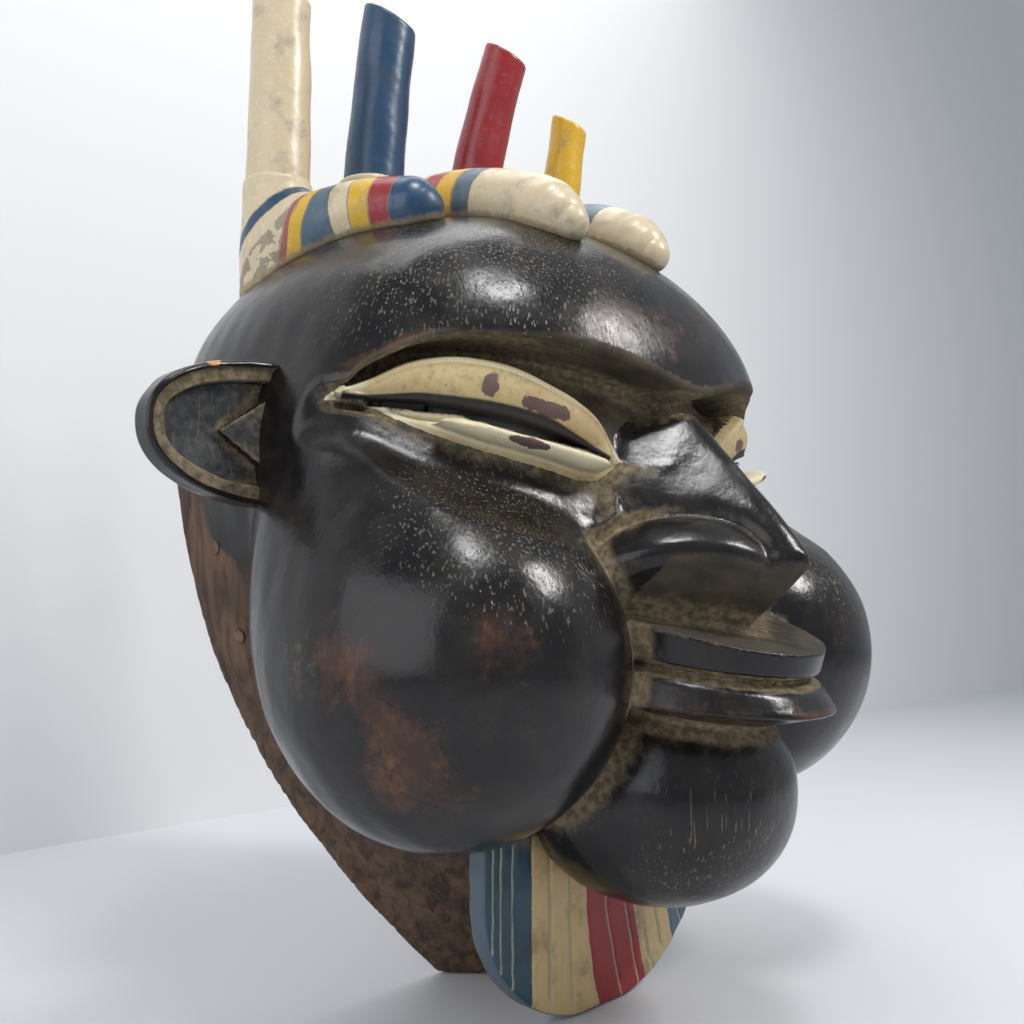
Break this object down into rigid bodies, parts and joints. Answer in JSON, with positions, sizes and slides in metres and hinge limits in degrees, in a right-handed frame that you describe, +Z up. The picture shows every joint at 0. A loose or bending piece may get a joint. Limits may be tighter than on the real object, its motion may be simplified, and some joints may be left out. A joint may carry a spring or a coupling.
{
  "type": "carved wooden mask",
  "caption": "Large hollow wooden face mask with ball cheeks, shelf lips, side ears, a painted beard and striped serpents whose tails stand up from the crown, worn over the face.",
  "frame": {"origin": "centre of the flat foot at the bottom of the back rim, on the surface the mask stands on", "axes": "+Z up as the mask stands, -Y the way the face looks, +X the mask's own left"},
  "size_m": [0.4776, 0.3182, 0.6114],
  "materials": {
    "dark_wood": "blackened and polished by handling",
    "bare_wood": "bare",
    "beard_paint": "painted in blue, cream and red bands",
    "striped_paint": "painted in cream, red, yellow and blue stripes",
    "cream_paint": "worn paint",
    "blue_paint": "satin paint",
    "red_paint": "satin paint",
    "yellow_paint": "satin paint"
  },
  "bodies": {
    "root": {"beard_dowel_1": "bare_wood", "beard_dowel_2": "bare_wood", "beard_plate": "beard_paint", "crest_dowel_1": "bare_wood", "crest_dowel_2": "bare_wood", "crest_dowel_3": "bare_wood", "crest_dowel_4": "bare_wood", "crest_dowel_5": "bare_wood", "crest_dowel_6": "bare_wood", "crest_dowel_7": "bare_wood", "crest_dowel_8": "bare_wood", "crest_serpent_1": "striped_paint", "crest_serpent_2": "striped_paint", "crest_serpent_3": "striped_paint", "crest_serpent_4": "striped_paint", "crest_tail_1": "cream_paint", "crest_tail_2": "blue_paint", "crest_tail_3": "red_paint", "crest_tail_4": "yellow_paint", "ear_left": "dark_wood", "ear_right": "dark_wood", "mask_body": "dark_wood", "rim_peg_1": "bare_wood", "rim_peg_2": "bare_wood", "rim_peg_3": "bare_wood", "rim_peg_4": "bare_wood"}
  },
  "joints": []
}
